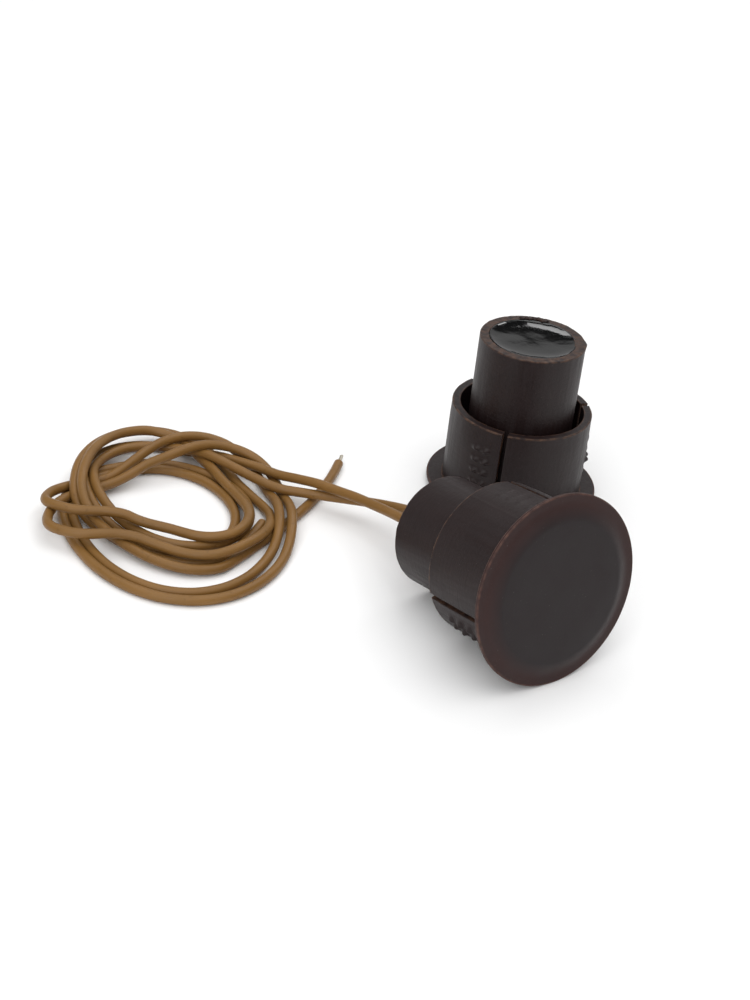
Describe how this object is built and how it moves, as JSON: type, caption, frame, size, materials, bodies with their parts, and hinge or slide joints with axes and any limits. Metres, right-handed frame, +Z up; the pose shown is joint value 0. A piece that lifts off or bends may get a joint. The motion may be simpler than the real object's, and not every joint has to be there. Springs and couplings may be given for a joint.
{
  "type": "door contact sensor",
  "caption": "Flush door contact: a potted reed switch unit with two free leads and its matching magnet unit, both with a round head and a slotted gripping collar.",
  "frame": {"origin": "centre of the magnet unit's flat face, on the surface it stands on", "axes": "+Z up along the magnet unit's tube; the switch unit lies with its face towards -Y and its tube towards +Y, and the leads lie towards -X"},
  "size_m": [0.0736, 0.0721, 0.0228],
  "materials": {
    "brown_plastic": "satin moulded ABS, dark brown",
    "black_resin": "glossy cast epoxy",
    "clear_glass": "clear",
    "plated_reed": "plated nickel iron",
    "white_sleeve": "matt sleeve",
    "solder": "bright solder",
    "tan_pvc": "satin extruded PVC, tan brown",
    "tinned_copper": "tinned strands",
    "magnet_alloy": "ground magnet"
  },
  "bodies": {
    "switch_unit": {"switch_housing": "brown_plastic", "switch_resin": "black_resin", "reed_glass": "clear_glass", "reed_wire_front": "plated_reed", "reed_wire_rear": "plated_reed", "return_sleeve": "white_sleeve", "solder_joint_a": "solder", "solder_joint_b": "solder", "lead_a_root": "tan_pvc", "lead_b_root": "tan_pvc", "lead_a_strands": "tinned_copper", "lead_b_strands": "tinned_copper", "lead_a_run": "tan_pvc", "lead_b_run": "tan_pvc", "lead_coil": "tan_pvc", "lead_a_tail": "tan_pvc", "lead_a_tip": "tinned_copper"},
    "switch_grip_a": {"switch_finger_a": "brown_plastic"},
    "switch_grip_b": {"switch_finger_b": "brown_plastic"},
    "switch_grip_c": {"switch_finger_c": "brown_plastic"},
    "front_contact": {"reed_blade_front": "plated_reed"},
    "rear_contact": {"reed_blade_rear": "plated_reed"},
    "magnet_unit": {"magnet_housing": "brown_plastic", "magnet": "magnet_alloy", "magnet_resin": "black_resin"},
    "magnet_grip_a": {"magnet_finger_a": "brown_plastic"},
    "magnet_grip_b": {"magnet_finger_b": "brown_plastic"},
    "magnet_grip_c": {"magnet_finger_c": "brown_plastic"}
  },
  "joints": [
    {"name": "door_opening", "type": "slide", "parent": "switch_unit", "child": "magnet_unit", "axis": [1, 0, 0], "range_m": [0, 0.04]},
    {"name": "front_contact_flex", "type": "hinge", "parent": "switch_unit", "child": "front_contact", "pos_m": [-0.02515, -0.03024, 0.01024], "axis": [1, 0, 0], "range_deg": [0, 1], "stiffness_Nm_per_rad": 0.0005},
    {"name": "rear_contact_flex", "type": "hinge", "parent": "switch_unit", "child": "rear_contact", "pos_m": [-0.02515, -0.02291, 0.0092], "axis": [1, 0, 0], "range_deg": [0, 1], "stiffness_Nm_per_rad": 0.0005},
    {"name": "switch_grip_a_flex", "type": "hinge", "parent": "switch_unit", "child": "switch_grip_a", "pos_m": [-0.02588, -0.03631, 0.00292], "axis": [0.9659, -0.0482, -0.2543], "range_deg": [0, 1.5], "stiffness_Nm_per_rad": 2},
    {"name": "switch_grip_b_flex", "type": "hinge", "parent": "switch_unit", "child": "switch_grip_b", "pos_m": [-0.02982, -0.03357, 0.01738], "axis": [-0.7071, -0.1318, -0.6947], "range_deg": [0, 1.5], "stiffness_Nm_per_rad": 2},
    {"name": "switch_grip_c_flex", "type": "hinge", "parent": "switch_unit", "child": "switch_grip_c", "pos_m": [-0.0151, -0.03431, 0.0135], "axis": [-0.2588, 0.18, 0.949], "range_deg": [0, 1.5], "stiffness_Nm_per_rad": 2},
    {"name": "magnet_grip_a_flex", "type": "hinge", "parent": "magnet_unit", "child": "magnet_grip_a", "pos_m": [-0.0081, 0.00344, 0.0017], "axis": [0.3907, 0.9205, 0], "range_deg": [0, 1.5], "stiffness_Nm_per_rad": 2},
    {"name": "magnet_grip_b_flex", "type": "hinge", "parent": "magnet_unit", "child": "magnet_grip_b", "pos_m": [0.00107, -0.00873, 0.0017], "axis": [-0.9925, -0.1219, 0], "range_deg": [0, 1.5], "stiffness_Nm_per_rad": 2},
    {"name": "magnet_grip_c_flex", "type": "hinge", "parent": "magnet_unit", "child": "magnet_grip_c", "pos_m": [0.00703, 0.0053, 0.0017], "axis": [0.6018, -0.7986, 0], "range_deg": [0, 1.5], "stiffness_Nm_per_rad": 2}
  ],
  "couplings": [
    {"joint": "rear_contact_flex", "follows": "front_contact_flex", "ratio": 1}
  ]
}
